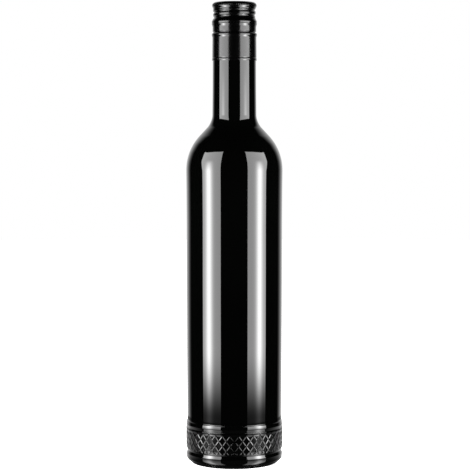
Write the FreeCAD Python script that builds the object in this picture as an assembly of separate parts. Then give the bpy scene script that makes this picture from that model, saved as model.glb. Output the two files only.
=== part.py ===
"""Half-litre glass oil bottle with an aluminium roll-on closure and a non-refillable pourer.

The bottle is one moulded piece of black glass: push-up base, rounded heel, a ring of raised diamond
lattice, a straight body, a round shoulder, a long neck, and a 28 mm screw finish with a transfer bead.
The closure is one drawn aluminium shell, pierced round by a tear line into a removable cap, which is
rolled onto the glass thread, and a long band that is tucked in under the transfer bead and stays on.
A sealing wad lies in the cap.  A plastic pourer is pressed into the mouth and carries a clipped-in
cage, where a disc and a glass ball close the way down while the bottle stands.

Frame: millimetres, +Z up along the bottle's axis, origin at the centre of the plane it stands on.
-Y is the front.
"""

import FreeCAD, Part
import math
import os

Vector = FreeCAD.Vector
ORIGIN = Vector(0, 0, 0)
AXIS = Vector(0, 0, 1)
FULL_TURN = 360.0
FRONT = 270.0                      # angle of -Y about +Z

# ---- glass: heights and walls ----------------------------------------------------------------
bottle_height = 293.7              # to the top of the glass lip
glass_wall = 2.75                  # body and shoulder
neck_wall = 3.4
base_thickness = 5.6
push_up = 3.2                      # rise of the domed underside
bearing_width = 2.4                # flat ring that the bottle stands on
mould_ease = 0.35                  # smallest moulded fillet

# ---- glass: body, radii given as steps from the widest radius ---------------------------------
body_r = 31.05                     # at the shoulder
straight_inset = 0.3               # along the body
waist_inset = 0.69                 # just above the lattice ring
flare_proud = 0.05                 # rounded lip above the ring
ring_proud = 0.17                  # lattice ribs
rim_inset = 0.1                    # plain rim under the ring
heel_radius = 5.5
groove_depth = 0.45                # V grooves above and below the ring
ring_low = 9.9
ring_high = 22.9
flare_height = 2.7                 # thickness of the rounded lip above the ring
waist_rise = 6.9                   # from the lip's foot to the waist
straight_low = 92.0
straight_high = 172.0
shoulder_height = 189.2            # where the shoulder's arc starts
shoulder_radius = 32.3
shoulder_slope = 43.0              # degrees from the axis, of the cone between shoulder and neck
neck_fillet = 11.5
neck_flare = 0.4                   # the neck's foot is this much larger than its top
neck_flare_height = 30.0

# ---- glass: lattice --------------------------------------------------------------------------
diamonds_round = 40
diamond_height = 6.4
lattice_centre = 15.4              # height of the middle row
lattice_relief = 0.5               # depth of the diamond recesses
rib_width = 0.85
ring_foot_band = 0.5               # plain bands of the ring below and above the lattice
ring_head_band = 1.0

# ---- glass: 28 mm finish, heights measured down from the lip ----------------------------------
bore_r = 9.3
bore_depth = 15.0
bead_r = 14.1                      # transfer bead
bead_drop = 8.7
bead_height = 2.6
finish_r = 12.35                   # glass between the threads
lip_inset = 0.25
lip_band = 1.2
thread_r = 13.3                    # crest of the glass thread
thread_pitch = 3.175
thread_turns = 1.5
thread_rise = 1.95                 # thread's first height above the transfer bead
thread_angle = 20.0                # where it starts, about +Z
thread_crest_width = 0.7
thread_root_width = 2.0

# ---- closure shell ---------------------------------------------------------------------------
shell = 0.25                       # aluminium thickness
bead_clearance = 0.15              # shell to transfer bead
thread_clearance = 0.12            # shell to thread crest
roll_clearance = 0.5               # rolled thread's tip to the glass between the threads
roll_angle = 360.0                 # where the rolled thread starts
roll_turns = 1.3
roll_width = 1.7
roll_tip_width = 0.8
rim_step = 0.58                    # knurled rim stands this far out from the thread zone
rim_height = 3.0
rim_corner = 1.3
knurls = 72
knurl_depth = 0.12
tear_drop = 1.9                    # tear line, below the top of the transfer bead
tear_width = 0.3
bridges = 8
bridge_width = 0.9
bridge_crack = 0.02                # parted bridges stay this far from each other
tuck_grip = 0.38                   # the band reaches this far in under the transfer bead
tuck_clearance = 0.42              # tucked band to the neck
tuck_height = 3.9
skirt_inset = 0.13                 # skirt's inside, from the transfer bead's radius
skirt_clearance = 0.07             # skirt to the neck
skirt_length = 15.2
stiffening_roll = 0.28             # rolled bead at the head of the skirt stands this far out
stiffening_roll_height = 2.6
hem_roll = 0.16
hem_height = 1.9

# ---- wad and pourer --------------------------------------------------------------------------
wad_thickness = 1.6
wad_clearance = 0.7                # wad to the inside of the rim
part_gap = 0.02                    # between pieces that rest on each other but move apart
flange_r = 12.0
flange_thickness = 1.05
plug_clearance = 0.05              # plug to the bore
plug_length = 14.0
plug_wall = 1.05
fin_bite = 0.1                     # sealing fins are this much larger than the bore
fin_drops = (4.0, 6.5, 9.0)
fin_height = 0.8
drip_channel = 2.5                 # from the spout to the plug's wall
spout_wall = 0.8
spout_overhang = 1.2
spout_lip_height = 1.6
spout_drop = 0.15                  # spout's lip below the flange's face
web_drop = 7.0                     # floor of the drip channel, below the lip
web_thickness = 1.0
drains = 4
drain_margin = 0.45
bar_width = 1.0

# ---- valve -----------------------------------------------------------------------------------
cage_clearance = 0.08              # cage to the plug's inside
cage_wall = 1.0
clip_drop = 12.0                   # clip ring, below the lip
clip_height = 1.0
clip_bite = 0.25
seat_r = 3.6
seat_thickness = 1.6
guide_ribs = 4
guide_width = 1.0
ball_r = 4.0
ball_clearance = 0.25              # ball to the guide ribs
ball_travel = 2.5
disc_clearance = 0.62              # disc to the cage, for the oil to pass
disc_thickness = 1.6
disc_travel = 1.5
dish_depth = 0.8
stop_gap = 0.1                     # ball to the bars at the top of its travel

# ---- what follows from them ------------------------------------------------------------------
straight_r = body_r - straight_inset
waist_r = body_r - waist_inset
flare_r = body_r + flare_proud
ring_r = body_r + ring_proud
rim_under_ring_r = body_r - rim_inset
bearing_r = rim_under_ring_r - heel_radius - bearing_width
skirt_inner_r = bead_r - skirt_inset
neck_r = skirt_inner_r - skirt_clearance
neck_foot_r = neck_r + neck_flare
tuck_inner_r = bead_r - tuck_grip
under_bead_r = tuck_inner_r - tuck_clearance
bead_high = bottle_height - bead_drop
bead_low = bead_high - bead_height
thread_start = bead_high + thread_rise
tear_height = bead_high - tear_drop
cap_thread_r = thread_r + thread_clearance + shell
bulge_r = bead_r + bead_clearance + shell
rim_r = cap_thread_r + rim_step
flange_top = bottle_height + flange_thickness
wad_low = flange_top + part_gap
wad_high = wad_low + wad_thickness
cap_top = wad_high + part_gap + shell
rim_low = cap_top - rim_height
tuck_high = bead_low - 1.4
tuck_low = tuck_high - tuck_height
skirt_high = tuck_low - stiffening_roll_height
band_bottom = skirt_high - skirt_length
plug_r = bore_r - plug_clearance
plug_inner_r = plug_r - plug_wall
spout_r = plug_inner_r - drip_channel
web_high = bottle_height - web_drop
web_low = web_high - web_thickness
cage_r = plug_inner_r - cage_clearance
cage_inner_r = cage_r - cage_wall
ball_middle = web_low - stop_gap - ball_travel - disc_travel - ball_r
disc_high = ball_middle - ball_r - part_gap + dish_depth
disc_low = disc_high - disc_thickness
seat_high = disc_low - part_gap
cage_low = seat_high - seat_thickness


# ---- shaping tools ---------------------------------------------------------------------------
def outline(corners):
    """A closed wire in the XZ plane from corners (radius, height) or (radius, height, fillet)."""
    points = [Vector(corner[0], 0, corner[1]) for corner in corners]
    fillets = [corner[2] if len(corner) > 2 else 0.0 for corner in corners]
    runs = []                                          # start, middle and end of each corner's arc
    for i, point in enumerate(points):
        before = (points[i - 1] - point).normalize()
        after = (points[(i + 1) % len(points)] - point).normalize()
        if fillets[i] == 0.0:
            runs.append((point, None, point))
            continue
        half_angle = before.getAngle(after) / 2
        setback = fillets[i] / math.tan(half_angle)
        inward = (before + after).normalize()
        nearest = fillets[i] / math.sin(half_angle) - fillets[i]
        runs.append((point + before * setback, point + inward * nearest, point + after * setback))
    edges = []
    for i, (start, middle, end) in enumerate(runs):
        if middle is not None:
            edges.append(Part.Arc(start, middle, end).toShape())
        next_start = runs[(i + 1) % len(runs)][0]
        edges.append(Part.LineSegment(end, next_start).toShape())
    return Part.Wire(edges)


def turned(corners):
    """A solid of revolution about Z."""
    return Part.Face(outline(corners)).revolve(ORIGIN, AXIS, FULL_TURN)


def ring(inner_r, outer_r, low, high):
    return turned([(inner_r, low), (outer_r, low), (outer_r, high), (inner_r, high)])


def screw_thread(root_r, root_width, tip_r, tip_width, start_height, start_angle, turns):
    """A tapered ridge along a right-hand helix, standing out or in from root_r to tip_r."""
    helix = Part.makeHelix(thread_pitch, thread_pitch * turns, (root_r + tip_r) / 2)
    section = [Vector(root_r, 0, -root_width / 2), Vector(tip_r, 0, -tip_width / 2),
               Vector(tip_r, 0, tip_width / 2), Vector(root_r, 0, root_width / 2)]
    profile = Part.makePolygon(section + section[:1])
    thread = Part.Wire(helix.Edges).makePipeShell([profile], True, True)
    thread.rotate(ORIGIN, AXIS, start_angle)
    thread.translate(Vector(0, 0, start_height))
    return thread


def around(shape, count, first_angle=0.0):
    """Copies of a shape, evenly spaced about Z."""
    copies = []
    for i in range(count):
        copy = shape.copy()
        copy.rotate(ORIGIN, AXIS, first_angle + FULL_TURN * i / count)
        copies.append(copy)
    return copies


def radial_bar(inner_r, outer_r, width, low, high):
    """A box along +X from one radius to another."""
    return Part.makeBox(outer_r - inner_r, width, high - low, Vector(inner_r, -width / 2, low))


# ---- bottle ----------------------------------------------------------------------------------
def shoulder_corners():
    """Heights where the shoulder's cone, run on, meets the body's radius and the neck's foot."""
    slope = math.radians(shoulder_slope)
    touch_r = body_r - shoulder_radius * (1 - math.cos(slope))
    touch_height = shoulder_height + shoulder_radius * math.sin(slope)
    body_corner = touch_height - (body_r - touch_r) / math.tan(slope)
    neck_corner = touch_height + (touch_r - neck_foot_r) / math.tan(slope)
    return touch_r, body_corner, neck_corner


def neck_fillet_radius():
    """The neck's fillet, limited by the length of the cone that it runs into."""
    touch_r, _, _ = shoulder_corners()
    slope = math.radians(shoulder_slope)
    cone_length = (touch_r - neck_foot_r) / math.sin(slope)
    return min(neck_fillet, 0.98 * cone_length / math.tan(slope / 2))


def bottle_outside():
    """From the inner edge of the bearing ring, out and up to the mouth."""
    _, body_corner, neck_corner = shoulder_corners()
    foot_groove = ring_low - groove_depth
    head_groove = ring_high + 2.2 * groove_depth
    flare_low = head_groove + groove_depth
    flare_high = flare_low + flare_height
    return [
        (bearing_r, 0, 0.8),
        (rim_under_ring_r, 0, heel_radius),
        (rim_under_ring_r, foot_groove - groove_depth, mould_ease),
        (rim_under_ring_r - groove_depth, foot_groove, mould_ease / 2),
        (ring_r, ring_low + ring_foot_band / 2, mould_ease),
        (ring_r, ring_high, mould_ease),
        (ring_r - groove_depth, head_groove, mould_ease),
        (flare_r, flare_low + mould_ease, 2 * mould_ease),
        (flare_r, flare_high, 2 * mould_ease),
        (waist_r, flare_low + waist_rise, 6 * mould_ease),
        (straight_r, straight_low),
        (straight_r, straight_high),
        (body_r, body_corner, shoulder_radius),
        (neck_foot_r, neck_corner, neck_fillet_radius()),
        (neck_r, neck_corner + neck_flare_height),
        (neck_r, band_bottom + 3.0, 3.0),
        (under_bead_r, band_bottom + 6.0, 3.0),
        (under_bead_r, bead_low - 0.8, mould_ease),
        (bead_r, bead_low, mould_ease),
        (bead_r, bead_high - 0.6, mould_ease),
        (finish_r, bead_high + 0.7, mould_ease),
        (finish_r, bottle_height - lip_band, 0.1),
        (finish_r - lip_inset, bottle_height - lip_band, 0.1),
        (finish_r - lip_inset, bottle_height, 0.5),
    ]


def bottle_inside():
    """From the mouth, down to the middle of the floor and of the push-up."""
    _, body_corner, neck_corner = shoulder_corners()
    inner_r = straight_r - glass_wall
    neck_bore_r = neck_r - neck_wall
    floor_height = base_thickness + push_up
    return [
        (bore_r, bottle_height, 0.6),
        (bore_r, bottle_height - bore_depth, 2.0),
        (neck_bore_r, bottle_height - bore_depth - 6.0, 4.0),
        (neck_bore_r, neck_corner - glass_wall / 2, neck_fillet_radius()),
        (inner_r, body_corner - glass_wall / 2, shoulder_radius - glass_wall),
        (inner_r, base_thickness, 7.0),
        (inner_r / 3, floor_height, 30.0),
        (0, floor_height),
        (0, push_up),
        (bearing_r / 2, push_up, 25.0),
    ]


def lattice_recesses():
    """Diamond prisms that leave crossing ribs between them, cut off at the ring's plain bands."""
    cell_width = 2 * math.pi * ring_r / diamonds_round
    lean = math.atan2(cell_width, diamond_height)
    half_width = cell_width / 2 - rib_width / 2 / math.cos(lean)
    half_height = diamond_height / 2 - rib_width / 2 / math.sin(lean)
    low = ring_low + ring_foot_band
    high = ring_high - ring_head_band
    floor_r = ring_r - lattice_relief
    depth = 3 * lattice_relief
    window = Part.makeBox(depth, 2 * cell_width, high - low, Vector(floor_r, -cell_width, low))
    half_rows = math.ceil((ring_high - ring_low) / diamond_height)
    recesses = []
    for row in range(-half_rows, half_rows + 1):
        middle = lattice_centre + row * diamond_height / 2
        if middle + half_height <= low or middle - half_height >= high:
            continue
        corners = [Vector(floor_r, -half_width, middle), Vector(floor_r, 0, middle - half_height),
                   Vector(floor_r, half_width, middle), Vector(floor_r, 0, middle + half_height)]
        diamond = Part.Face(Part.makePolygon(corners + corners[:1])).extrude(Vector(depth, 0, 0))
        stagger = FULL_TURN / diamonds_round / 2 if row % 2 else 0.0
        recesses += around(diamond.common(window), diamonds_round, FRONT + stagger)
    return recesses


def glass_bottle():
    blown = turned(bottle_outside() + bottle_inside())
    thread = screw_thread(finish_r - 0.3, thread_root_width, thread_r, thread_crest_width,
                          thread_start, thread_angle, thread_turns)
    return blown.fuse(thread).cut(lattice_recesses())


# ---- closure ---------------------------------------------------------------------------------
def sheet(outside):
    """A turned skin of the shell's thickness, from its outside corners, listed downwards."""
    inside = [(corner[0] - shell,) + tuple(corner[1:]) for corner in reversed(outside)]
    return turned(list(outside) + inside)


def bridge_halves(low, high):
    """Stubs of the bridges across the tear line."""
    band = ring(bulge_r - shell, bulge_r, low, high)
    bars = around(radial_bar(bulge_r - 2 * shell, bulge_r + shell, bridge_width, low, high), bridges)
    return [band.common(bar) for bar in bars]


def cap_shell():
    cap_bottom = tear_height + tear_width / 2
    skin = sheet([
        (rim_r, cap_top - rim_corner),
        (rim_r, rim_low, 0.3),
        (cap_thread_r, rim_low - 0.6, 0.3),
        (cap_thread_r, bead_high + 1.1, 0.4),
        (bulge_r, bead_high - 0.2, 0.5),
        (bulge_r, cap_bottom),
    ])
    top = turned([
        (0, cap_top),
        (rim_r, cap_top, rim_corner),
        (rim_r, cap_top - rim_corner - shell),
        (rim_r - shell, cap_top - rim_corner - shell),
        (rim_r - shell, cap_top - shell, rim_corner - shell),
        (0, cap_top - shell),
    ])
    inner_r = cap_thread_r - shell
    tip_r = finish_r + roll_clearance
    turn_from_thread = (roll_angle - thread_angle) / FULL_TURN
    start = thread_start + thread_pitch * (turn_from_thread - 0.5)
    ridge = screw_thread(inner_r + shell / 2, roll_width, tip_r, roll_tip_width,
                         start, roll_angle, roll_turns)
    groove = screw_thread(cap_thread_r + shell, roll_width, tip_r + shell, roll_tip_width / 2,
                          start, roll_angle, roll_turns)
    stubs = bridge_halves(tear_height + bridge_crack / 2, cap_bottom)
    notch = radial_bar(rim_r - knurl_depth, rim_r + shell, math.pi * rim_r / knurls,
                       rim_low + 0.4, cap_top - rim_corner)
    return skin.fuse([top, ridge] + stubs).cut([groove] + around(notch, knurls))


def tamper_band():
    band_top = tear_height - tear_width / 2
    roll_r = skirt_inner_r + shell + stiffening_roll
    hem_r = skirt_inner_r + shell + hem_roll
    skin = sheet([
        (bulge_r, band_top),
        (bulge_r, bead_low + 0.1, 0.5),
        (tuck_inner_r + shell, tuck_high, 0.5),
        (tuck_inner_r + shell, tuck_low, 0.15),
        (roll_r, tuck_low - 0.5, 0.4),
        (roll_r, skirt_high + 0.9, 0.4),
        (skirt_inner_r + shell, skirt_high, 0.5),
        (skirt_inner_r + shell, band_bottom + hem_height, 0.5),
        (hem_r, band_bottom + 0.7 * hem_height, 0.4),
        (hem_r, band_bottom + 0.3 * hem_height, 0.4),
        (skirt_inner_r + shell, band_bottom),
    ])
    return skin.fuse(bridge_halves(band_top, tear_height - bridge_crack / 2))


def cap_wad():
    wad_r = rim_r - shell - wad_clearance
    return turned([(0, wad_low), (wad_r, wad_low), (wad_r, wad_high, 0.8 * wad_thickness), (0, wad_high)])


# ---- pourer and valve ------------------------------------------------------------------------
def sealing_fin(drop):
    tip_height = bottle_height - drop
    return turned([(plug_r - 0.2, tip_height - fin_height), (bore_r + fin_bite, tip_height),
                   (plug_r - 0.2, tip_height + fin_height / 4)])


def pourer_body():
    plug = ring(plug_inner_r, plug_r, bottle_height - plug_length, flange_top)
    flange = ring(plug_r - plug_wall / 2, flange_r, bottle_height, flange_top)
    web = ring(spout_r - spout_wall, plug_r - plug_wall / 2, web_low, web_high)
    spout_top = flange_top - spout_drop
    spout = turned([
        (spout_r - spout_wall, web_low),
        (spout_r, web_low),
        (spout_r, spout_top - spout_lip_height, 1.0),
        (spout_r + spout_overhang, spout_top),
        (spout_r - spout_wall, spout_top),
    ])
    across = 2 * spout_r - spout_wall
    bars = [Part.makeBox(across, bar_width, web_thickness, Vector(-across / 2, -bar_width / 2, web_low)),
            Part.makeBox(bar_width, across, web_thickness, Vector(-bar_width / 2, -across / 2, web_low))]
    drain = Part.makeCylinder(drip_channel / 2 - drain_margin, 2 * web_thickness,
                              Vector(spout_r + drip_channel / 2, 0, web_low - web_thickness / 2))
    clip_middle = bottle_height - clip_drop
    clip_groove = ring(plug_inner_r - plug_wall, plug_inner_r + clip_bite + part_gap,
                       clip_middle - clip_height / 2, clip_middle + clip_height / 2)
    fins = [sealing_fin(drop) for drop in fin_drops]
    body = plug.fuse([flange, web, spout] + bars + fins)
    return body.cut(around(drain, drains, FULL_TURN / drains / 2) + [clip_groove]).removeSplitter()


def valve_cage():
    tube = ring(cage_inner_r, cage_r, cage_low, web_low)
    seat = ring(seat_r, cage_r, cage_low, seat_high)
    clip_middle = bottle_height - clip_drop
    clip = ring(cage_r - cage_wall / 2, plug_inner_r + clip_bite,
                clip_middle - clip_height / 2, clip_middle + clip_height / 2)
    guide_low = disc_high + disc_travel + stop_gap
    guide = radial_bar(ball_r + ball_clearance, cage_r - cage_wall / 2, guide_width, guide_low, web_low)
    return tube.fuse([seat, clip] + around(guide, guide_ribs)).removeSplitter()


def valve_ball():
    return Part.makeSphere(ball_r, Vector(0, 0, ball_middle))


def valve_disc():
    blank = Part.makeCylinder(cage_inner_r - disc_clearance, disc_thickness, Vector(0, 0, disc_low))
    return blank.cut(Part.makeSphere(ball_r + part_gap, Vector(0, 0, ball_middle)))


# ---- the pieces ------------------------------------------------------------------------------
PIECES = {
    "glass_bottle": glass_bottle,
    "pourer_body": pourer_body,
    "valve_cage": valve_cage,
    "valve_disc": valve_disc,
    "valve_ball": valve_ball,
    "cap_shell": cap_shell,
    "cap_wad": cap_wad,
    "tamper_band": tamper_band,
}


def main():
    os.makedirs("parts", exist_ok=True)
    for name, make in PIECES.items():
        shape = make()
        solid = shape.Solids[0]
        box = solid.BoundBox
        print(f"{name:14s} solids {len(shape.Solids)}  valid {solid.isValid()}  "
              f"volume {solid.Volume / 1000:8.3f} ml  z {box.ZMin:7.2f} to {box.ZMax:7.2f}")
        solid.exportStep(f"parts/{name}.step")


if __name__ == "__main__":
    main()
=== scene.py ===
import bpy, bmesh, math
from mathutils import Matrix, Vector


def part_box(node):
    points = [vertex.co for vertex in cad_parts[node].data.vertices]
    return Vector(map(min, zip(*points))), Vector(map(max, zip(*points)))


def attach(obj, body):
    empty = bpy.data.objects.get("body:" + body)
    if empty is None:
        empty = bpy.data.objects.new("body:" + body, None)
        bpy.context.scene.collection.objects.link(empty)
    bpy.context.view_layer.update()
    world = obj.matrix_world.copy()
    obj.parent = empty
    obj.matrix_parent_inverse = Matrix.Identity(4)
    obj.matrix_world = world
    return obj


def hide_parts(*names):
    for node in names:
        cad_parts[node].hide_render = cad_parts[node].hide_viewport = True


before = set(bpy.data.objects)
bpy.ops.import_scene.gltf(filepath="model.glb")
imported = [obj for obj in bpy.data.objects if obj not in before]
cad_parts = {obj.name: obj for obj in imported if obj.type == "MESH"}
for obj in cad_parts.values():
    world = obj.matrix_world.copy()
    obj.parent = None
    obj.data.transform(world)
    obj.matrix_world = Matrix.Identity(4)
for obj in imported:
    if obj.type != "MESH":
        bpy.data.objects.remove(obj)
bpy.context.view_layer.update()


# ---- Camera ----------------------------------------------------------------------------------
# A long lens a little over a metre in front of the bottle, about level with its shoulder and
# tipped down slightly, so that the bottle fills the height of the picture.
camera_distance = 1.121
camera_height = 0.2094
camera_tip = math.radians(3.166)
camera_aside = 0.0004

camera_data = bpy.data.cameras.new("camera")
camera_data.sensor_width = 36.0
camera_data.lens = 133.3
camera = bpy.data.objects.new("camera", camera_data)
camera.location = (camera_aside, -camera_distance, camera_height)
camera.rotation_euler = (math.radians(90) - camera_tip, 0, 0)
bpy.context.scene.collection.objects.link(camera)
bpy.context.scene.camera = camera
bpy.context.scene.view_settings.view_transform = "Standard"


# ---- Softboxes and screen --------------------------------------------------------------------
# A tall softbox stands on the table close to each side of the bottle, a little in front of it, and
# a white screen hangs behind.  Each is a curved sheet of light about the bottle's axis, seen only in
# reflections.  The lamp in a softbox shows through its cloth as a hot streak up its lower half.
def new_material(name):
    """An empty node material, with its nodes and links."""
    material = bpy.data.materials.new(name)
    material.use_nodes = True
    material.node_tree.nodes.clear()
    return material, material.node_tree.nodes, material.node_tree.links


def calculate(nodes, links, operation, *values):
    """A Math node on sockets or numbers."""
    node = nodes.new("ShaderNodeMath")
    node.operation = operation
    for socket, value in zip(node.inputs, values):
        if isinstance(value, (int, float)):
            socket.default_value = value
        else:
            links.new(value, socket)
    return node.outputs[0]


def ramp(nodes, links, value, start, end, low, high, curve="SMOOTHSTEP"):
    """A value that runs from start to end becomes one that runs from low to high."""
    node = nodes.new("ShaderNodeMapRange")
    node.interpolation_type = curve
    links.new(value, node.inputs["Value"])
    for name, number in (("From Min", start), ("From Max", end), ("To Min", low), ("To Max", high)):
        node.inputs[name].default_value = number
    return node.outputs["Result"]


def light_sheet(name, radius, first, last, low, high, strength):
    """A glowing sheet between two angles from the front, in degrees, positive towards +X.
    strength(nodes, links, angle, height) gives the socket that drives its glow."""
    bm = bmesh.new()
    foot = bm.verts.new((0, -radius, low))
    head = bm.verts.new((0, -radius, high))
    edge = bm.edges.new((foot, head))
    bmesh.ops.rotate(bm, verts=[foot, head], matrix=Matrix.Rotation(math.radians(first), 3, "Z"))
    bmesh.ops.spin(bm, geom=[foot, head, edge], cent=(0, 0, 0), axis=(0, 0, 1),
                   angle=math.radians(last - first), steps=48)
    mesh = bpy.data.meshes.new(name)
    bm.to_mesh(mesh)
    bm.free()
    sheet = bpy.data.objects.new(name, mesh)
    bpy.context.scene.collection.objects.link(sheet)
    sheet.visible_camera = False
    material, nodes, links = new_material(name)
    place = nodes.new("ShaderNodeTexCoord")
    parts = nodes.new("ShaderNodeSeparateXYZ")
    links.new(place.outputs["Object"], parts.inputs[0])
    forward = calculate(nodes, links, "MULTIPLY", parts.outputs["Y"], -1.0)
    turn = calculate(nodes, links, "ARCTAN2", parts.outputs["X"], forward)
    angle = calculate(nodes, links, "MULTIPLY", calculate(nodes, links, "ABSOLUTE", turn), math.degrees(1))
    glow = nodes.new("ShaderNodeEmission")
    links.new(strength(nodes, links, angle, parts.outputs["Z"]), glow.inputs["Strength"])
    output = nodes.new("ShaderNodeOutputMaterial")
    links.new(glow.outputs[0], output.inputs["Surface"])
    mesh.materials.append(material)


softbox_radius = 0.2
softbox_tops = (0.36, 0.305)       # at the edge nearer the camera, and at the far edge
cloth_glow = (5.6, 7.6)            # at the same two edges
foot_fade = (0.003, 0.055)         # the cloth is lit from foot_glow to full between these heights
foot_glow = 0.033
side_flare = (0.18, 0.25, 6.0)     # the far edge leans out by these degrees, between these heights
edge_blur = (0.5, 0.003)           # degrees at the sides, and metres at the top
lamp_glow = 17.0
lamp_spread = 7.9                  # degrees
lamp_fade = (0.18, 0.27)           # the streak fades out between these heights


def softbox(name, side, inner, outer, lamp):
    """A softbox on one side of the bottle, between two angles, with its lamp at the angle lamp."""
    def strength(nodes, links, angle, height):
        cloth = ramp(nodes, links, angle, inner, outer, *cloth_glow, "LINEAR")
        offset = calculate(nodes, links, "SUBTRACT", angle, lamp)
        share = calculate(nodes, links, "DIVIDE", offset, lamp_spread)
        square = calculate(nodes, links, "MULTIPLY", share, share)
        bell = calculate(nodes, links, "EXPONENT", calculate(nodes, links, "MULTIPLY", square, -1.0))
        lamp_height = ramp(nodes, links, height, *lamp_fade, lamp_glow, 0.0)
        streak = calculate(nodes, links, "MULTIPLY", bell, lamp_height)
        glow = calculate(nodes, links, "ADD", cloth, streak)
        lean = ramp(nodes, links, height, side_flare[0], side_flare[1], 0.0, side_flare[2])
        past_side = calculate(nodes, links, "SUBTRACT", angle, lean)
        top = ramp(nodes, links, angle, inner, outer, *softbox_tops, "LINEAR")
        past_top = calculate(nodes, links, "SUBTRACT", height, top)
        for cover in (ramp(nodes, links, height, *foot_fade, foot_glow, 1.0),
                      ramp(nodes, links, past_side, outer - edge_blur[0], outer + edge_blur[0], 1.0, 0.0),
                      ramp(nodes, links, past_top, -edge_blur[1], edge_blur[1], 1.0, 0.0)):
            glow = calculate(nodes, links, "MULTIPLY", glow, cover)
        return glow

    widest = outer + side_flare[2] + edge_blur[0]
    highest = softbox_tops[0] + edge_blur[1]
    light_sheet(name, softbox_radius, side * inner, side * widest, 0.0, highest, strength)


softbox("softbox_left", -1, 30.5, 76.0, 59.0)
softbox("softbox_right", 1, 29.5, 75.5, 58.4)


screen_radius = 0.8
screen_edges = (125.0, 235.0)
screen_full = 153.0                # the edges glow up to full by this angle
screen_heights = (-0.6, 1.3)


def screen_strength(nodes, links, angle, height):
    """The screen's glow, which fades out towards its edges and is even over its height."""
    return ramp(nodes, links, angle, screen_edges[0], screen_full, 0.0, 1.0)


light_sheet("screen", screen_radius, *screen_edges, *screen_heights, screen_strength)


# ---- Floor and surroundings ------------------------------------------------------------------
# A plain white floor that runs out into white all round.  Between the softboxes lies a glossy dark
# plate, which shows only in the bottle's foot: a dim mirror image of the lights, and a little light
# that the screen spills on it behind the bottle.
floor_radius = 2.5
plate_height = -0.0001             # just under the floor, so that the two never share a plane


def disc(name, radius, height):
    """A flat round sheet on the stage."""
    bm = bmesh.new()
    bmesh.ops.create_circle(bm, cap_ends=True, segments=64, radius=radius)
    bmesh.ops.translate(bm, verts=bm.verts, vec=(0, 0, height))
    mesh = bpy.data.meshes.new(name)
    bm.to_mesh(mesh)
    bm.free()
    piece = bpy.data.objects.new(name, mesh)
    bpy.context.scene.collection.objects.link(piece)
    return piece


floor = disc("floor", floor_radius, 0.0)
floor.visible_glossy = False
floor.visible_diffuse = False
floor_paint, nodes, links = new_material("floor_paint")
chalk = nodes.new("ShaderNodeBsdfDiffuse")
chalk.inputs["Color"].default_value = (0.85, 0.85, 0.85, 1)
lift = nodes.new("ShaderNodeEmission")
lift.inputs["Strength"].default_value = 1.1
both = nodes.new("ShaderNodeAddShader")
links.new(chalk.outputs[0], both.inputs[0])
links.new(lift.outputs[0], both.inputs[1])
links.new(both.outputs[0], nodes.new("ShaderNodeOutputMaterial").inputs["Surface"])
floor.data.materials.append(floor_paint)

plate = disc("mirror_plate", softbox_radius, plate_height)
plate.visible_camera = False
plate.visible_diffuse = False
plate.visible_shadow = False
plate_gloss, nodes, links = new_material("plate_gloss")
polish = nodes.new("ShaderNodeBsdfGlossy")
polish.inputs["Color"].default_value = (0.33, 0.33, 0.33, 1)
polish.inputs["Roughness"].default_value = 0.1
place = nodes.new("ShaderNodeTexCoord")
parts = nodes.new("ShaderNodeSeparateXYZ")
links.new(place.outputs["Object"], parts.inputs[0])
reach = nodes.new("ShaderNodeVectorMath")
reach.operation = "LENGTH"
links.new(place.outputs["Object"], reach.inputs[0])
backwards = calculate(nodes, links, "DIVIDE", parts.outputs["Y"], reach.outputs["Value"])
behind = ramp(nodes, links, backwards, -0.5, 0.6, 0.03, 0.75)
near = ramp(nodes, links, reach.outputs["Value"], 0.11, 0.16, 1.0, 0.0)
spill = nodes.new("ShaderNodeEmission")
links.new(calculate(nodes, links, "MULTIPLY", behind, near), spill.inputs["Strength"])
both = nodes.new("ShaderNodeAddShader")
links.new(polish.outputs[0], both.inputs[0])
links.new(spill.outputs[0], both.inputs[1])
links.new(both.outputs[0], nodes.new("ShaderNodeOutputMaterial").inputs["Surface"])
plate.data.materials.append(plate_gloss)

world = bpy.data.worlds.new("white_surroundings")
bpy.context.scene.world = world
world.use_nodes = True
nodes, links = world.node_tree.nodes, world.node_tree.links
nodes.clear()
seen = nodes.new("ShaderNodeBackground")
seen.inputs["Color"].default_value = (1, 1, 1, 1)
dim = nodes.new("ShaderNodeBackground")
dim.inputs["Color"].default_value = (1, 1, 1, 1)
dim.inputs["Strength"].default_value = 0.0015
rays = nodes.new("ShaderNodeLightPath")
choose = nodes.new("ShaderNodeMixShader")
links.new(rays.outputs["Is Camera Ray"], choose.inputs["Fac"])
links.new(dim.outputs[0], choose.inputs[1])
links.new(seen.outputs[0], choose.inputs[2])
links.new(choose.outputs[0], nodes.new("ShaderNodeOutputWorld").inputs["Surface"])


# ---- Bottle ----------------------------------------------------------------------------------
# One piece of black glass, blown in a two-part mould: a push-up base and rounded heel, a ring of
# raised lattice between two grooves, a rounded lip, the straight body, shoulder and long neck, and
# a screw finish whose lower bead holds the closure's band.  Sizes are in millimetres.
millimetre = 0.001
glass_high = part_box("glass_bottle")[1]
lip_height = glass_high.z / millimetre
ring_r = glass_high.x / millimetre          # the lattice's ribs are the widest part
body_r = ring_r - 0.2
straight_r = ring_r - 0.47
waist_r = ring_r - 0.88
rim_r = ring_r - 0.2
glass_wall = 2.75
heel_height = 3.3
heel_foot_r = 27.1
bearing_r = heel_foot_r - 2.6
push_up = 3.2
base_thickness = 5.6
ring_high = 23.35
upper_groove = 0.55
lower_groove = 0.85
diamonds_round = 40
diamond_height = 6.5
grid_steps = 16                    # along each side of a diamond
lattice_middle = 15.1
lattice_low = lattice_middle - 14 * diamond_height / grid_steps      # both ends lie on rows of the
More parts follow.
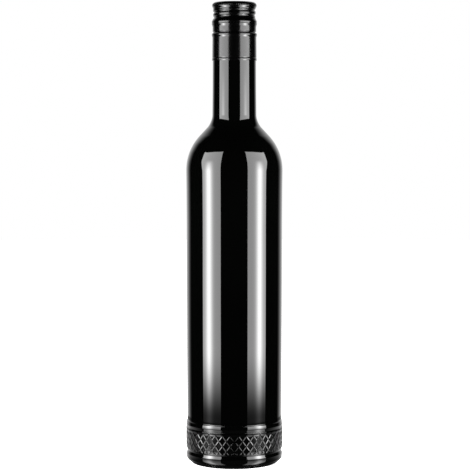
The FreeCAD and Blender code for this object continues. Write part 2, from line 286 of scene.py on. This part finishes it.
lattice_high = lattice_middle + 17 * diamond_height / grid_steps     # grid, so their points match
ring_low = lattice_low - 0.1
relief = 0.2
ring_curl = 0.6                    # the ring's foot curls in by this much
ring_curl_height = 2.0
shoulder_height = 189.3
shoulder_radius = 32.3
shoulder_slope = 43.0              # degrees turned through before the straight slope to the neck
shoulder_arcs = 4
neck_r = 13.9
neck_foot_r = 14.2
bead_high = lip_height - 8.7
bead_low = bead_high - 2.6
bead_r = 14.1
finish_r = 12.35
thread_crest_r = 12.98
thread_pitch = 3.175
thread_first_angle = 20.0
thread_first_height = bead_high + 1.95
bore_r = 9.3
around_steps = 160
longest_edge = 60.0
thread_row = 0.2
sharp_above = 38.0                 # edges that turn more than this many degrees stay sharp


def wire(bm, corners):
    """Edges through corners (radius, height) or (radius, height, setback), in the XZ plane.
    A corner with a setback is rounded, from that distance before it to the same distance after."""
    verts = [bm.verts.new((corner[0], 0, corner[1])) for corner in corners]
    for first, second in zip(verts, verts[1:]):
        bm.edges.new((first, second))
    for vert, corner in zip(verts, corners):
        if len(corner) == 3:
            segments = max(3, min(12, round(corner[2] * 4)))
            bmesh.ops.bevel(bm, geom=[vert], offset=corner[2], offset_type="OFFSET", segments=segments,
                            profile=0.5, affect="VERTICES", material=-1)


def arc_corners(centre_r, centre_height, radius, first, last, count):
    """Corners round the outside of an arc, to be rounded into it.  Angles rise from the radius."""
    half = math.radians(last - first) / count / 2
    corners = []
    for i in range(count):
        angle = math.radians(first) + half * (2 * i + 1)
        reach = radius / math.cos(half)
        corners.append((centre_r + reach * math.cos(angle), centre_height + reach * math.sin(angle),
                        radius * math.tan(half) * 0.999))
    return corners


def turn(bm, steps):
    """Spins the wires that bm holds into a skin about Z, and merges the points that meet."""
    bmesh.ops.spin(bm, geom=bm.verts[:] + bm.edges[:], cent=(0, 0, 0), axis=(0, 0, 1),
                   angle=math.radians(360), steps=steps, use_merge=True)
    bmesh.ops.remove_doubles(bm, verts=bm.verts, dist=1e-4)


def divide(bm, low, high, longest):
    """Divides the edges of a wire between two heights, so that none there is longer than longest."""
    for edge in bm.edges[:]:
        length = edge.calc_length()
        heights = [vert.co.z for vert in edge.verts]
        if low - 0.001 < min(heights) and max(heights) < high + 0.001 and length > longest:
            bmesh.ops.subdivide_edges(bm, edges=[edge], cuts=math.ceil(length / longest) - 1)


def finished_piece(name, bm, *materials):
    """Makes the piece from a mesh in millimetres, smooth, with its place in its mesh."""
    bmesh.ops.scale(bm, vec=(millimetre,) * 3, verts=bm.verts)
    for face in bm.faces:
        face.smooth = True
    for edge in bm.edges:
        edge.smooth = edge.calc_face_angle(0.0) < math.radians(sharp_above)
    mesh = bpy.data.meshes.new(name)
    bm.to_mesh(mesh)
    bm.free()
    piece = bpy.data.objects.new(name, mesh)
    bpy.context.scene.collection.objects.link(piece)
    for material in materials:
        mesh.materials.append(material)
    return piece


def ease(value):
    """0 to 1 smoothly as value goes from 0 to 1."""
    value = min(max(value, 0.0), 1.0)
    return value * value * (3 - 2 * value)


bm = bmesh.new()
wire(bm, [
    (0, push_up),
    (bearing_r * 0.5, push_up, 6.0),
    (bearing_r, 0, 1.0),
    (heel_foot_r, 0, 0.9),
    (rim_r, heel_height, 1.3),
    (rim_r, ring_low - 2.6, 0.5),
    (ring_r - lower_groove, ring_low - 0.9, 0.12),
    (ring_r - lower_groove, ring_low - 0.4, 0.1),
    (ring_r - ring_curl - 0.1, ring_low - 0.1, 0.05),
    (ring_r - ring_curl, ring_low),
    (ring_r - ring_curl, lattice_low),
])
slope = math.radians(shoulder_slope)
shoulder_foot_r = body_r - shoulder_radius * (1 - math.cos(slope))
shoulder_foot_height = shoulder_height + shoulder_radius * math.sin(slope)
neck_corner_height = shoulder_foot_height + (shoulder_foot_r - neck_foot_r) / math.tan(slope)
inner_r = straight_r - glass_wall
neck_inner_r = neck_r - 3.4
wire(bm, [
    (ring_r, lattice_high),
    (ring_r, ring_high, 0.05),
    (ring_r - upper_groove, ring_high + 0.2, 0.05),
    (ring_r - 0.15, ring_high + 2.0, 0.3),
    (ring_r - 0.42, ring_high + 4.2, 0.12),
    (waist_r, ring_high + 4.6, 0.12),
    (waist_r, ring_high + 5.3),
    (waist_r + 0.2, 58.0, 20.0),
    (straight_r, 98.0, 20.0),
    (straight_r, 166.0, 10.0),
    (body_r, shoulder_height - 1.0, 1.0),
    *arc_corners(body_r - shoulder_radius, shoulder_height, shoulder_radius,
                 0, shoulder_slope, shoulder_arcs),
    (neck_foot_r, neck_corner_height, 4.6),
    (neck_r, 249.0, 8.0),
    (neck_r, 262.0, 1.0),
    (neck_r - 0.6, 265.0, 1.0),
    (neck_r - 0.6, bead_low - 0.8, 0.3),
    (bead_r, bead_low, 0.35),
    (bead_r, bead_high - 0.6, 0.35),
    (finish_r, bead_high + 0.7, 0.3),
    (finish_r, lip_height - 1.2, 0.15),
    (finish_r - 0.25, lip_height - 1.1, 0.05),
    (finish_r - 0.25, lip_height, 0.6),
    (bore_r, lip_height, 0.6),
    (bore_r, lip_height - 15.0, 1.0),
    (neck_inner_r, lip_height - 21.0, 1.5),
    (neck_inner_r, neck_corner_height - 1.5, 5.0),
    *reversed(arc_corners(body_r - shoulder_radius, shoulder_height, shoulder_radius - glass_wall,
                          0, shoulder_slope, shoulder_arcs)),
    (inner_r, base_thickness, 7.0),
    (inner_r / 3, base_thickness + push_up, 4.0),
    (0, base_thickness + push_up),
])
divide(bm, bead_high + 0.9, lip_height - 1.25, thread_row)
divide(bm, 0, lip_height, longest_edge)
turn(bm, around_steps)
bmesh.ops.recalc_face_normals(bm, faces=bm.faces)

# The glass thread stands out of the finish between the bead and the lip.
thread_turns = 1.5
thread_half_width = 1.0
for vert in bm.verts:
    radius = vert.co.xy.length
    if not (bead_high + 0.75 < vert.co.z < lip_height - 1.25) or abs(radius - finish_r) > 0.02:
        continue
    angle = math.degrees(math.atan2(vert.co.y, vert.co.x)) % 360
    rise = 0.0
    for turn_number in range(3):
        along = (angle + 360 * turn_number - thread_first_angle) / 360
        runout = ease(along / 0.06) * ease((thread_turns - along) / 0.06)
        height = thread_first_height + thread_pitch * along
        rise = max(rise, runout * ease(1.45 * (1 - abs(vert.co.z - height) / thread_half_width)))
    vert.co.xy *= 1 + (thread_crest_r - finish_r) * rise / radius

# The lattice: one column of a slanting grid, raised along the sides of the diamonds, rolled onto
# the ring, curled in at its foot and repeated round it.  It is joined to the plain glass above and
# below point for point, so that the skin stays closed.
rib_flat = 0.03
rib_foot = 0.62
diamond_width = 2 * math.pi * ring_r / diamonds_round
side_gap = diamond_width * diamond_height / 2 / math.hypot(diamond_width / 2, diamond_height / 2)
lattice = bmesh.new()
bmesh.ops.create_grid(lattice, x_segments=4 * grid_steps, y_segments=4 * grid_steps, size=2)
for vert in lattice.verts:
    across, up = vert.co.x, vert.co.y
    vert.co = ((across - up) * diamond_width / 2, (across + up) * diamond_height / 2 + lattice_middle, 0)
for place, outward in (((diamond_width / 2, 0, 0), (1, 0, 0)), ((-diamond_width / 2, 0, 0), (-1, 0, 0)),
                       ((0, lattice_high, 0), (0, 1, 0)), ((0, lattice_low, 0), (0, -1, 0))):
    bmesh.ops.bisect_plane(lattice, geom=lattice.verts[:] + lattice.edges[:] + lattice.faces[:], dist=1e-4,
                           plane_co=place, plane_no=outward, clear_outer=True)
for vert in lattice.verts:
    along, height = vert.co.x / diamond_width, vert.co.y
    level = (height - lattice_middle) / diamond_height
    to_ribs = min(0.5 - abs(share - round(share)) for share in (level + along, level - along)) * side_gap
    to_ring = min(height - lattice_low, lattice_high - height)
    depth = relief * ease((min(to_ribs, to_ring) - rib_flat) / (rib_foot - rib_flat))
    depth += ring_curl * max(0, 1 - (height - lattice_low) / ring_curl_height) ** 2
    angle = math.radians(270) + vert.co.x / ring_r
    vert.co = ((ring_r - depth) * math.cos(angle), (ring_r - depth) * math.sin(angle), height)
bmesh.ops.spin(lattice, geom=lattice.verts[:] + lattice.edges[:] + lattice.faces[:], cent=(0, 0, 0),
               axis=(0, 0, 1), angle=math.radians(360) * (diamonds_round - 1) / diamonds_round,
               steps=diamonds_round - 1, use_duplicate=True)
bmesh.ops.remove_doubles(lattice, verts=lattice.verts, dist=0.002)
column = bpy.data.meshes.new("lattice_column")
lattice.to_mesh(column)
lattice.free()

lattice_ends = ((lattice_low, ring_r - ring_curl), (lattice_high, ring_r))


def at_lattice_end(vert):
    """Whether a point lies on the ring where the lattice meets the plain glass."""
    return any(abs(vert.co.z - height) < 0.001 and abs(vert.co.xy.length - radius) < 0.02
               for height, radius in lattice_ends)


end_edges = [edge for edge in bm.edges if all(at_lattice_end(vert) for vert in edge.verts)]
bmesh.ops.subdivide_edges(bm, edges=end_edges, cuts=diamonds_round * grid_steps // around_steps - 1)
bm.from_mesh(column)
bpy.data.meshes.remove(column)
bmesh.ops.remove_doubles(bm, verts=[vert for vert in bm.verts if at_lattice_end(vert)], dist=0.012)
bmesh.ops.recalc_face_normals(bm, faces=bm.faces)


def surface_wander(name):
    """A node group: slow and fine unevenness of a surface, as a roughness and a normal."""
    group = bpy.data.node_groups.new(name, "ShaderNodeTree")
    for socket, usual in (("Slow Scale", 20.0), ("Fine Scale", 400.0), ("Smoothest", 0.02),
                          ("Roughest", 0.06), ("Wave Height", 0.00002), ("Grain Height", 0.0)):
        made = group.interface.new_socket(socket, in_out="INPUT", socket_type="NodeSocketFloat")
        made.default_value = usual
    for socket, kind in (("Roughness", "NodeSocketFloat"), ("Normal", "NodeSocketVector"),
                         ("Mask", "NodeSocketFloat")):
        group.interface.new_socket(socket, in_out="OUTPUT", socket_type=kind)
    nodes, links = group.nodes, group.links
    given = nodes.new("NodeGroupInput")
    result = nodes.new("NodeGroupOutput")
    place = nodes.new("ShaderNodeTexCoord")
    slow = nodes.new("ShaderNodeTexNoise")
    fine = nodes.new("ShaderNodeTexNoise")
    for noise, scale, detail in ((slow, "Slow Scale", 3.0), (fine, "Fine Scale", 2.0)):
        noise.inputs["Detail"].default_value = detail
        links.new(place.outputs["Object"], noise.inputs["Vector"])
        links.new(given.outputs[scale], noise.inputs["Scale"])
    spread = nodes.new("ShaderNodeMapRange")
    spread.inputs["From Min"].default_value = 0.3
    spread.inputs["From Max"].default_value = 0.7
    links.new(slow.outputs["Fac"], spread.inputs["Value"])
    links.new(given.outputs["Smoothest"], spread.inputs["To Min"])
    links.new(given.outputs["Roughest"], spread.inputs["To Max"])
    wave = calculate(nodes, links, "MULTIPLY", slow.outputs["Fac"], given.outputs["Wave Height"])
    grain = calculate(nodes, links, "MULTIPLY", fine.outputs["Fac"], given.outputs["Grain Height"])
    bump = nodes.new("ShaderNodeBump")
    bump.inputs["Distance"].default_value = 1.0
    links.new(calculate(nodes, links, "ADD", wave, grain), bump.inputs["Height"])
    links.new(spread.outputs["Result"], result.inputs["Roughness"])
    links.new(bump.outputs["Normal"], result.inputs["Normal"])
    links.new(slow.outputs["Fac"], result.inputs["Mask"])
    return group


wander = surface_wander("surface_wander")


def surface_finish(name, colours, roughness, scales, heights, **plain):
    """A Principled material whose colour, roughness and surface wander, and whose other inputs are plain."""
    material, nodes, links = new_material(name)
    shader = nodes.new("ShaderNodeBsdfPrincipled")
    uneven = nodes.new("ShaderNodeGroup")
    uneven.node_tree = wander
    for socket, value in zip(("Slow Scale", "Fine Scale", "Smoothest", "Roughest", "Wave Height",
                              "Grain Height"), (*scales, *roughness, *heights)):
        uneven.inputs[socket].default_value = value
    tint = nodes.new("ShaderNodeMix")
    tint.data_type = "RGBA"
    tint.inputs[6].default_value = (*colours[0], 1)
    tint.inputs[7].default_value = (*colours[1], 1)
    links.new(uneven.outputs["Mask"], tint.inputs[0])
    links.new(tint.outputs[2], shader.inputs["Base Color"])
    links.new(uneven.outputs["Roughness"], shader.inputs["Roughness"])
    links.new(uneven.outputs["Normal"], shader.inputs["Normal"])
    for socket, value in plain.items():
        shader.inputs[socket.replace("_", " ")].default_value = value
    links.new(shader.outputs[0], nodes.new("ShaderNodeOutputMaterial").inputs["Surface"])
    return material


black_glass = surface_finish("black_glass", ((0.0002, 0.0002, 0.0002), (0.0006, 0.0007, 0.0006)),
                             (0.02, 0.045), (14.0, 260.0), (0.00001, 0.0), IOR=1.52)
bottle = finished_piece("bottle_glass", bm, black_glass)
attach(bottle, "bottle")
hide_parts("glass_bottle")


# ---- Pourer and valve ------------------------------------------------------------------------
# A milky plastic pourer is pressed into the mouth, with a cage clipped into it that holds the valve
# disc and a clear glass ball.  They are moulded to the drawn shapes and only need their finish.
def repaint(node, material):
    """Gives a drawn part its finish, in the slots that it already has."""
    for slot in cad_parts[node].material_slots:
        slot.material = material


pourer_plastic = surface_finish("pourer_plastic", ((0.78, 0.78, 0.74), (0.86, 0.86, 0.83)), (0.28, 0.4),
                                (60.0, 1500.0), (0.00001, 0.000004), IOR=1.5, Subsurface_Weight=0.2,
                                Subsurface_Scale=0.002)
valve_plastic = surface_finish("valve_plastic", ((0.7, 0.73, 0.74), (0.8, 0.82, 0.82)), (0.3, 0.42),
                               (80.0, 1800.0), (0.00001, 0.000003), IOR=1.5)
ball_glass = surface_finish("ball_glass", ((0.86, 0.93, 0.9), (0.93, 0.97, 0.95)), (0.02, 0.05),
                            (90.0, 900.0), (0.000005, 0.0), IOR=1.52, Transmission_Weight=1.0)
repaint("pourer_body", pourer_plastic)
repaint("valve_cage", valve_plastic)
repaint("valve_disc", valve_plastic)
repaint("valve_ball", ball_glass)


# ---- Sealing wad -----------------------------------------------------------------------------
# A disc of white foamed plastic that lies loose in the top of the cap, over the mouth.
wad_foam = surface_finish("wad_foam", ((0.72, 0.71, 0.67), (0.84, 0.83, 0.8)), (0.6, 0.75),
                          (120.0, 3000.0), (0.00002, 0.00002), IOR=1.45)
repaint("cap_wad", wad_foam)


# ---- Cap -------------------------------------------------------------------------------------
# The top of the aluminium shell, lacquered satin black: a flat top with a knurled rim to grip, the
# thread rolled in against the glass, a waist, and the flare over the bead.  It ends at the tear
# line in the stubs of the bridges that hold it to the band.
cap_low, cap_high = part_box("cap_shell")
cap_top = cap_high.z / millimetre
flare_r = cap_high.x / millimetre
cap_thread_r = flare_r - 0.82
cap_rim_r = flare_r - 0.25
rim_low = cap_top - 3.0
shell_thickness = 0.25
tear_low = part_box("tamper_band")[1].z / millimetre
tear_high = cap_low.z / millimetre
tear_middle = (tear_low + tear_high) / 2
tear_half_gap = 0.16
tear_lip_inset = 0.1               # the cut edges turn in by this, and still clear the bead
bridge_gap = 0.01                  # between the two halves of a broken bridge
bridges = 8
shell_steps = 288
knurls = 72
knurl_depth = 0.16
roll_first_angle = 180.0
roll_turns = 1.85
roll_half_width = 1.0
roll_depth = 0.55


def bridge_stubs(bm, edge_height, reach):
    """Draws out short stubs from a skin's free edge at the bridges, reach upwards."""
    half_width = 360 / shell_steps * 1.5 + 0.1
    chosen = []
    for edge in bm.edges:
        middle = (edge.verts[0].co + edge.verts[1].co) / 2
        angle = math.degrees(math.atan2(middle.y, middle.x)) % (360 / bridges)
        offset = min(angle, 360 / bridges - angle)
        if all(abs(vert.co.z - edge_height) < 0.01 for vert in edge.verts) and offset < half_width:
            chosen.append(edge)
    drawn = bmesh.ops.extrude_edge_only(bm, edges=chosen)
    moved = [item for item in drawn["geom"] if isinstance(item, bmesh.types.BMVert)]
    bmesh.ops.translate(bm, verts=moved, vec=(0, 0, reach))


def sheet_metal(bm):
    """Gives a skin the shell's thickness, inwards, with the inside in the second material."""
    bmesh.ops.recalc_face_normals(bm, faces=bm.faces)
    outside = bm.faces[:]
    if sum(face.normal.dot(face.calc_center_median() * Vector((1, 1, 0))) for face in outside) < 0:
        bmesh.ops.reverse_faces(bm, faces=outside)
    bmesh.ops.solidify(bm, geom=outside, thickness=shell_thickness)
    kept = set(outside)
    for face in bm.faces:
        if face not in kept:
            face.material_index = 1


bm = bmesh.new()
wire(bm, [
    (0, cap_top),
    (10.6, cap_top, 0.3),
    (11.0, cap_top - 0.12, 0.15),
    (11.4, cap_top, 0.2),
    (cap_rim_r, cap_top, 2.2),
    (cap_rim_r, rim_low + 0.2, 0.4),
    (cap_thread_r - 0.08, rim_low - 0.9, 0.35),
    (cap_thread_r, rim_low - 1.7, 0.4),
    (cap_thread_r, bead_high + 3.2, 0.5),
    (cap_thread_r - 0.4, bead_high + 2.0, 0.6),
    (cap_thread_r - 0.1, bead_high + 1.2, 0.3),
    (flare_r, bead_high - 0.6, 0.6),
    (flare_r, tear_middle + 0.9, 0.3),
    (flare_r - tear_lip_inset, tear_middle + tear_half_gap),
])
divide(bm, bead_high + 0.6, cap_top - 1.1, thread_row)
turn(bm, shell_steps)
for vert in bm.verts:
    radius = vert.co.xy.length
    if radius < cap_thread_r - 0.6:
        continue
    angle = math.degrees(math.atan2(vert.co.y, vert.co.x)) % 360
    step = 0.0
    if vert.co.z > rim_low - 0.1 and radius > cap_rim_r - 0.3:
        grip = ease((vert.co.z - rim_low - 0.3) / 0.4) * ease((cap_top - 0.9 - vert.co.z) / 0.6)
        step = knurl_depth * grip * (0.5 - 0.5 * math.cos(math.radians(angle * knurls)))
    if vert.co.z < rim_low:
        for turn_number in range(4):
            along = (angle + 360 * turn_number - roll_first_angle) / 360
            ahead = (roll_first_angle - thread_first_angle) / 360 - 0.5
            height = thread_first_height + thread_pitch * (along + ahead)
            runout = ease(along / 0.08 + 0.5) * ease((roll_turns - along) / 0.12)
            step += roll_depth * runout * ease(1.2 * (1 - abs(vert.co.z - height) / roll_half_width))
    vert.co.xy *= 1 - step / radius
bridge_stubs(bm, tear_middle + tear_half_gap, bridge_gap - tear_half_gap)
sheet_metal(bm)

black_lacquer = surface_finish("black_lacquer", ((0.0002, 0.0002, 0.0002), (0.0006, 0.0006, 0.0006)),
                               (0.14, 0.18), (40.0, 1200.0), (0.00001, 0.0), IOR=1.5)
bare_aluminium = surface_finish("bare_aluminium", ((0.72, 0.72, 0.73), (0.82, 0.82, 0.83)), (0.3, 0.42),
                                (50.0, 1500.0), (0.00001, 0.000003), Metallic=1.0)
cap = finished_piece("cap", bm, black_lacquer, bare_aluminium)
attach(cap, "cap")
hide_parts("cap_shell")


# ---- Band ------------------------------------------------------------------------------------
# The rest of the same shell, which stays on the neck: flared over the bead, tucked in under it, a
# stiffening roll, a long plain skirt and a hem turned at its foot.
band_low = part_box("tamper_band")[0].z / millimetre
skirt_r = flare_r - 0.28
tuck_r = flare_r - 0.53
tuck_high = bead_low - 1.4
tuck_low = tuck_high - 3.9
roll_middle = tuck_low - 1.3

bm = bmesh.new()
wire(bm, [
    (flare_r - tear_lip_inset, tear_middle - tear_half_gap),
    (flare_r, tear_middle - 0.5, 0.2),
    (flare_r - 0.04, bead_low + 0.1, 0.5),
    (tuck_r, tuck_high, 0.6),
    (tuck_r, tuck_low + 0.7, 0.12),
    (tuck_r - 0.4, tuck_low + 0.5, 0.08),
    (tuck_r - 0.4, tuck_low + 0.1, 0.08),
    (flare_r, roll_middle + 0.7, 0.3),
    (flare_r, roll_middle - 0.5, 0.4),
    (skirt_r - 0.12, roll_middle - 1.5, 0.4),
    (skirt_r, band_low + 3.0, 0.8),
    (skirt_r, band_low + 1.95, 0.15),
    (skirt_r - 0.12, band_low + 1.75, 0.1),
    (skirt_r + 0.14, band_low + 1.4, 0.2),
    (skirt_r + 0.14, band_low + 0.35, 0.12),
    (skirt_r, band_low),
])
turn(bm, shell_steps)
bridge_stubs(bm, tear_middle - tear_half_gap, tear_half_gap - bridge_gap)
sheet_metal(bm)
band = finished_piece("band", bm, black_lacquer, bare_aluminium)
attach(band, "band")
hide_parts("tamper_band")
